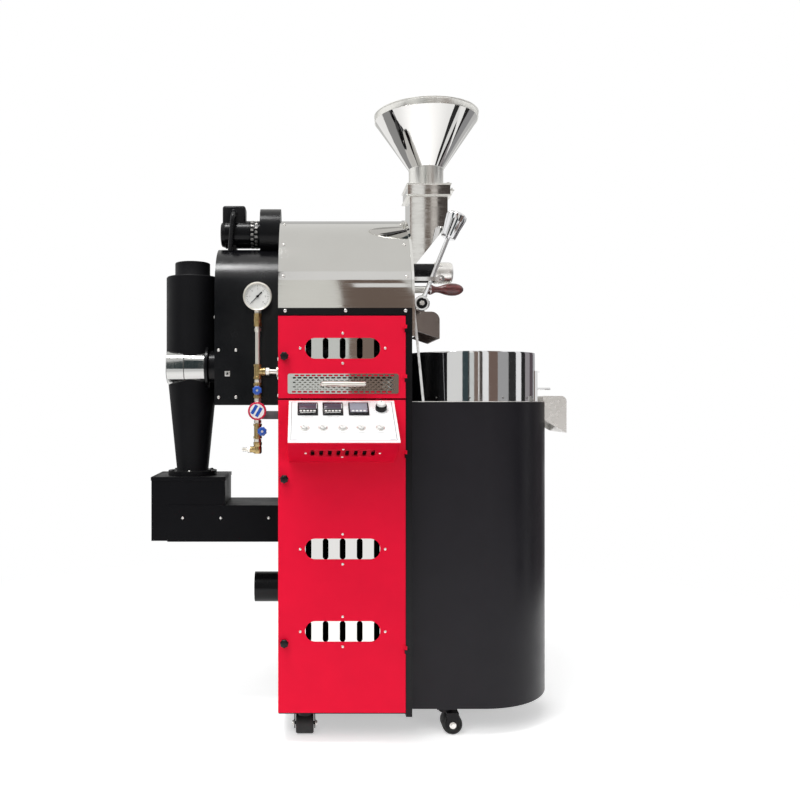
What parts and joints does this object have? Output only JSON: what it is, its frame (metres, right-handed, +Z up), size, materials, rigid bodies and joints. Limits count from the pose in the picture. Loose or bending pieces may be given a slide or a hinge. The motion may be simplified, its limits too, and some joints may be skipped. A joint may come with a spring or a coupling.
{
  "type": "coffee roaster",
  "caption": "Floor-standing gas drum coffee roaster with a feed hopper, hinged red doors, stirred cooling bin, chaff cyclone, exhaust fan and castors.",
  "frame": {"origin": "floor level under the middle of the bounding box", "axes": "+Z up, -Y is the side with the red doors, +X towards the cooling bin"},
  "size_m": [1.087, 0.639, 1.6],
  "materials": {
    "red_paint": "fine textured powder coat",
    "black_paint": "satin powder coat",
    "polished_steel": "polished stainless sheet",
    "brushed_steel": "brushed stainless",
    "mirror_steel": "mirror stainless plate",
    "chrome": "bright chrome",
    "bare_steel": "mill finish steel",
    "cast_grey": "painted casting",
    "brass": "bare brass fittings",
    "white_panel": "white panel",
    "black_plastic": "moulded plastic",
    "blue_plastic": "moulded plastic",
    "red_plastic": "moulded plastic",
    "wood": "varnished hardwood",
    "tyre": "hard rubber wheel",
    "zinc": "zinc plated steel"
  },
  "bodies": {
    "frame": {"cabinet_frame": "black_paint", "drum_cover": "polished_steel", "drum_casing": "bare_steel", "front_plate": "polished_steel", "burner": "cast_grey", "rear_cover": "black_paint", "drum_motor": "cast_grey", "shaft_bearings": "cast_grey", "fan_housing": "black_paint", "fan_motor": "black_paint", "cyclone": "black_paint", "chaff_box": "black_paint", "chaff_arm": "black_paint", "hopper": "polished_steel", "feed_chute": "polished_steel", "sight_glass": "chrome", "discharge_hood": "brushed_steel", "cooling_body": "black_paint", "cooling_ring": "chrome", "cooling_screen": "brushed_steel", "cooling_chute": "brushed_steel", "stir_motor": "cast_grey", "blower_housing": "black_paint", "gas_train": "brass"},
    "drum": {"drum": "bare_steel"},
    "fan_impeller": {"fan_impeller": "bare_steel"},
    "blower_impeller": {"blower_impeller": "bare_steel"},
    "stirrer": {"stirrer": "brushed_steel"},
    "hopper_gate": {"hopper_gate": "polished_steel"},
    "discharge_door": {"discharge_door": "chrome"},
    "tryer": {"tryer_tube": "brushed_steel", "tryer_handle": "wood"},
    "cooling_gate": {"cooling_gate": "brushed_steel"},
    "upper_door": {"upper_door": "red_paint", "upper_vent": "mirror_steel"},
    "chaff_tray": {"chaff_tray": "brushed_steel"},
    "lower_door": {"lower_door": "red_paint", "lower_vents": "mirror_steel", "control_panel": "white_panel"},
    "upper_latch": {"upper_latch": "black_plastic"},
    "middle_latch": {"middle_latch": "black_plastic"},
    "lower_latch": {"lower_latch": "black_plastic"},
    "dial_knob": {"dial_knob": "black_plastic"},
    "valve_upper": {"valve_upper": "blue_plastic"},
    "valve_lower": {"valve_lower": "blue_plastic"},
    "regulator_knob": {"regulator_knob": "red_plastic"},
    "gauge_needle": {"gauge_needle": "black_plastic"},
    "button_1": {"button_1": "black_plastic"},
    "button_2": {"button_2": "black_plastic"},
    "button_3": {"button_3": "black_plastic"},
    "button_4": {"button_4": "black_plastic"},
    "button_5": {"button_5": "black_plastic"},
    "castor_fork_1": {"castor_fork_1": "zinc"},
    "castor_wheel_1": {"castor_wheel_1": "tyre"},
    "castor_fork_2": {"castor_fork_2": "zinc"},
    "castor_wheel_2": {"castor_wheel_2": "tyre"},
    "castor_fork_3": {"castor_fork_3": "zinc"},
    "castor_wheel_3": {"castor_wheel_3": "tyre"},
    "castor_fork_4": {"castor_fork_4": "zinc"},
    "castor_wheel_4": {"castor_wheel_4": "tyre"}
  },
  "joints": [
    {"name": "drum_spin", "type": "hinge", "parent": "frame", "child": "drum", "pos_m": [-0.0415, 0.0675, 1.14], "axis": [1, 0, 0], "continuous": true},
    {"name": "fan_spin", "type": "hinge", "parent": "frame", "child": "fan_impeller", "pos_m": [-0.2345, 0.0675, 1.275], "axis": [1, 0, 0], "continuous": true},
    {"name": "blower_spin", "type": "hinge", "parent": "frame", "child": "blower_impeller", "pos_m": [-0.0345, 0.0675, 0.322], "axis": [1, 0, 0], "continuous": true},
    {"name": "stirrer_spin", "type": "hinge", "parent": "frame", "child": "stirrer", "pos_m": [0.2985, 0.0675, 0.84], "axis": [0, 0, 1], "continuous": true},
    {"name": "hopper_gate_slide", "type": "slide", "parent": "frame", "child": "hopper_gate", "axis": [1, 0, 0], "range_m": [0, 0.088]},
    {"name": "discharge_lever", "type": "hinge", "parent": "frame", "child": "discharge_door", "pos_m": [0.1525, 0.0675, 1.072], "axis": [0, -1, 0], "range_deg": [0, 22]},
    {"name": "tryer_slide", "type": "slide", "parent": "frame", "child": "tryer", "axis": [1, 0, 0], "range_m": [0, 0.1]},
    {"name": "cooling_gate_lift", "type": "slide", "parent": "frame", "child": "cooling_gate", "axis": [0, 0, 1], "range_m": [0, 0.06]},
    {"name": "upper_door_hinge", "type": "hinge", "parent": "frame", "child": "upper_door", "pos_m": [0.099, -0.1858, 0.93], "axis": [0, 0, 1], "range_deg": [0, 110]},
    {"name": "chaff_tray_slide", "type": "slide", "parent": "upper_door", "child": "chaff_tray", "axis": [0, -1, 0], "range_m": [0, 0.055]},
    {"name": "upper_latch_turn", "type": "hinge", "parent": "upper_door", "child": "upper_latch", "pos_m": [-0.1925, -0.1825, 0.932], "axis": [0, -1, 0], "range_deg": [0, 90]},
    {"name": "lower_door_hinge", "type": "hinge", "parent": "frame", "child": "lower_door", "pos_m": [0.099, -0.1858, 0.45], "axis": [0, 0, 1], "range_deg": [0, 110]},
    {"name": "middle_latch_turn", "type": "hinge", "parent": "lower_door", "child": "middle_latch", "pos_m": [-0.1925, -0.1825, 0.638], "axis": [0, -1, 0], "range_deg": [0, 90]},
    {"name": "lower_latch_turn", "type": "hinge", "parent": "lower_door", "child": "lower_latch", "pos_m": [-0.1925, -0.1825, 0.245], "axis": [0, -1, 0], "range_deg": [0, 90]},
    {"name": "dial_turn", "type": "hinge", "parent": "lower_door", "child": "dial_knob", "pos_m": [0.0365, -0.21383, 0.8045], "axis": [0, 0.5658, -0.8246], "range_deg": [0, 270]},
    {"name": "valve_upper_turn", "type": "hinge", "parent": "frame", "child": "valve_upper", "pos_m": [-0.2585, -0.1475, 0.85], "axis": [0, -1, 0], "range_deg": [0, 360]},
    {"name": "valve_lower_turn", "type": "hinge", "parent": "frame", "child": "valve_lower", "pos_m": [-0.2465, -0.1475, 0.751], "axis": [0, -1, 0], "range_deg": [0, 360]},
    {"name": "regulator_turn", "type": "hinge", "parent": "frame", "child": "regulator_knob", "pos_m": [-0.2585, -0.1475, 0.8], "axis": [0, 1, 0], "range_deg": [0, 360]},
    {"name": "gauge_needle_turn", "type": "hinge", "parent": "frame", "child": "gauge_needle", "pos_m": [-0.2585, -0.1475, 1.079], "axis": [0, 1, 0], "range_deg": [0, 270]},
    {"name": "button_1_press", "type": "slide", "parent": "lower_door", "child": "button_1", "axis": [0, 0.5658, -0.8246], "range_m": [0, 0.003], "stiffness_N_per_m": 300},
    {"name": "button_2_press", "type": "slide", "parent": "lower_door", "child": "button_2", "axis": [0, 0.5658, -0.8246], "range_m": [0, 0.003], "stiffness_N_per_m": 300},
    {"name": "button_3_press", "type": "slide", "parent": "lower_door", "child": "button_3", "axis": [0, 0.5658, -0.8246], "range_m": [0, 0.003], "stiffness_N_per_m": 300},
    {"name": "button_4_press", "type": "slide", "parent": "lower_door", "child": "button_4", "axis": [0, 0.5658, -0.8246], "range_m": [0, 0.003], "stiffness_N_per_m": 300},
    {"name": "button_5_press", "type": "slide", "parent": "lower_door", "child": "button_5", "axis": [0, 0.5658, -0.8246], "range_m": [0, 0.003], "stiffness_N_per_m": 300},
    {"name": "castor_swivel_1", "type": "hinge", "parent": "frame", "child": "castor_fork_1", "pos_m": [-0.1435, -0.1275, 0.06], "axis": [0, 0, 1], "continuous": true},
    {"name": "castor_roll_1", "type": "hinge", "parent": "castor_fork_1", "child": "castor_wheel_1", "pos_m": [-0.1435, -0.1135, 0.025], "axis": [1, 0, 0], "continuous": true},
    {"name": "castor_swivel_2", "type": "hinge", "parent": "frame", "child": "castor_fork_2", "pos_m": [0.2075, -0.1055, 0.06], "axis": [0, 0, 1], "continuous": true},
    {"name": "castor_roll_2", "type": "hinge", "parent": "castor_fork_2", "child": "castor_wheel_2", "pos_m": [0.2215, -0.1055, 0.025], "axis": [0, 1, 0], "continuous": true},
    {"name": "castor_swivel_3", "type": "hinge", "parent": "frame", "child": "castor_fork_3", "pos_m": [-0.1435, 0.2625, 0.06], "axis": [0, 0, 1], "continuous": true},
    {"name": "castor_roll_3", "type": "hinge", "parent": "castor_fork_3", "child": "castor_wheel_3", "pos_m": [-0.1295, 0.2625, 0.025], "axis": [0, 1, 0], "continuous": true},
    {"name": "castor_swivel_4", "type": "hinge", "parent": "frame", "child": "castor_fork_4", "pos_m": [0.2075, 0.2405, 0.06], "axis": [0, 0, 1], "continuous": true},
    {"name": "castor_roll_4", "type": "hinge", "parent": "castor_fork_4", "child": "castor_wheel_4", "pos_m": [0.2075, 0.2545, 0.025], "axis": [1, 0, 0], "continuous": true}
  ]
}
